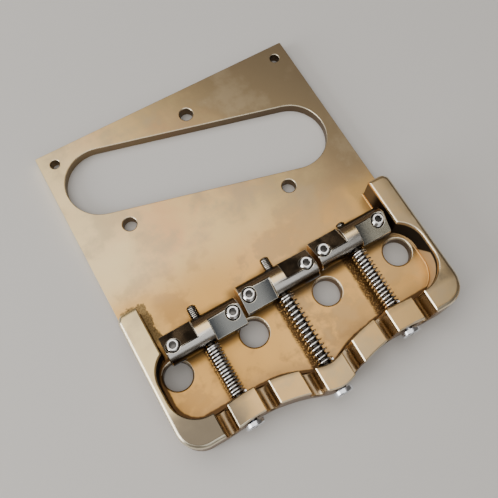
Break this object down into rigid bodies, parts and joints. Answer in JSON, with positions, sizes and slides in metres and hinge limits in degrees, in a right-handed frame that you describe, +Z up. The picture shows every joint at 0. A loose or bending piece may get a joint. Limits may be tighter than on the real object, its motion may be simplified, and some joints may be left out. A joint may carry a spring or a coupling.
{
  "type": "guitar bridge",
  "caption": "Flat guitar bridge plate with a raised U-shaped rim, three barrel saddles on sprung screws and a slanted pickup opening.",
  "frame": {"origin": "centre of the bridge's footprint, on the plate's underside", "axes": "+Z up out of the guitar's top, +Y from the rear wall towards the pickup opening and the neck, +X to the treble strings"},
  "size_m": [0.0764, 0.0936, 0.0114],
  "materials": {
    "aged_nickel": "aged nickel plating with brown stains",
    "dark_steel": "dark polished steel",
    "bright_steel": "bright steel with light stains"
  },
  "bodies": {
    "plate": {"bridge_plate": "aged_nickel"},
    "spring_bass": {"intonation_spring_bass": "bright_steel"},
    "spring_middle": {"intonation_spring_middle": "bright_steel"},
    "spring_treble": {"intonation_spring_treble": "bright_steel"},
    "screw_bass": {"intonation_screw_bass": "bright_steel"},
    "screw_middle": {"intonation_screw_middle": "bright_steel"},
    "screw_treble": {"intonation_screw_treble": "bright_steel"},
    "saddle_bass": {"saddle_bass": "dark_steel"},
    "saddle_middle": {"saddle_middle": "dark_steel"},
    "saddle_treble": {"saddle_treble": "dark_steel"},
    "height_1": {"height_screw_1": "bright_steel"},
    "height_2": {"height_screw_2": "bright_steel"},
    "height_3": {"height_screw_3": "bright_steel"},
    "height_4": {"height_screw_4": "bright_steel"},
    "height_5": {"height_screw_5": "bright_steel"},
    "height_6": {"height_screw_6": "bright_steel"}
  },
  "joints": [
    {"name": "tilt_bass", "type": "hinge", "parent": "plate", "child": "spring_bass", "pos_m": [-0.0215, -0.03824, 0.0072], "axis": [1, 0, 0], "range_deg": [-0.5, 5]},
    {"name": "tilt_middle", "type": "hinge", "parent": "plate", "child": "spring_middle", "pos_m": [0, -0.04225, 0.0072], "axis": [1, 0, 0], "range_deg": [-0.5, 5]},
    {"name": "tilt_treble", "type": "hinge", "parent": "plate", "child": "spring_treble", "pos_m": [0.0215, -0.03824, 0.0072], "axis": [1, 0, 0], "range_deg": [-0.5, 5]},
    {"name": "turn_bass", "type": "hinge", "parent": "spring_bass", "child": "screw_bass", "pos_m": [-0.0215, -0.03824, 0.0072], "axis": [0, -1, 0], "range_deg": [-3201, 2001]},
    {"name": "turn_middle", "type": "hinge", "parent": "spring_middle", "child": "screw_middle", "pos_m": [0, -0.04225, 0.0072], "axis": [0, -1, 0], "range_deg": [-3201, 2001]},
    {"name": "turn_treble", "type": "hinge", "parent": "spring_treble", "child": "screw_treble", "pos_m": [0.0215, -0.03824, 0.0072], "axis": [0, -1, 0], "range_deg": [-3201, 2001]},
    {"name": "slide_bass", "type": "slide", "parent": "spring_bass", "child": "saddle_bass", "axis": [0, 1, 0], "range_m": [-0.004, 0.0025], "deforming": ["intonation_spring_bass"]},
    {"name": "slide_middle", "type": "slide", "parent": "spring_middle", "child": "saddle_middle", "axis": [0, 1, 0], "range_m": [-0.004, 0.0025], "deforming": ["intonation_spring_middle"]},
    {"name": "slide_treble", "type": "slide", "parent": "spring_treble", "child": "saddle_treble", "axis": [0, 1, 0], "range_m": [-0.004, 0.0025], "deforming": ["intonation_spring_treble"]},
    {"name": "raise_1", "type": "slide", "parent": "saddle_bass", "child": "height_1", "axis": [0, 0, -1], "range_m": [-0.00016, 0.00163]},
    {"name": "raise_2", "type": "slide", "parent": "saddle_bass", "child": "height_2", "axis": [0, 0, -1], "range_m": [-0.00016, 0.00163]},
    {"name": "raise_3", "type": "slide", "parent": "saddle_middle", "child": "height_3", "axis": [0, 0, -1], "range_m": [-0.00021, 0.00214]},
    {"name": "raise_4", "type": "slide", "parent": "saddle_middle", "child": "height_4", "axis": [0, 0, -1], "range_m": [-0.00021, 0.00214]},
    {"name": "raise_5", "type": "slide", "parent": "saddle_treble", "child": "height_5", "axis": [0, 0, -1], "range_m": [-0.00019, 0.00186]},
    {"name": "raise_6", "type": "slide", "parent": "saddle_treble", "child": "height_6", "axis": [0, 0, -1], "range_m": [-0.00019, 0.00186]}
  ],
  "couplings": [
    {"joint": "turn_bass", "follows": "slide_bass", "rad_per_m": 13963},
    {"joint": "turn_middle", "follows": "slide_middle", "rad_per_m": 13963},
    {"joint": "turn_treble", "follows": "slide_treble", "rad_per_m": 13963},
    {"joint": "raise_1", "follows": "tilt_bass", "m_per_rad": 0.0187},
    {"joint": "raise_2", "follows": "tilt_bass", "m_per_rad": 0.0187},
    {"joint": "raise_3", "follows": "tilt_middle", "m_per_rad": 0.0245},
    {"joint": "raise_4", "follows": "tilt_middle", "m_per_rad": 0.0245},
    {"joint": "raise_5", "follows": "tilt_treble", "m_per_rad": 0.0213},
    {"joint": "raise_6", "follows": "tilt_treble", "m_per_rad": 0.0213}
  ]
}
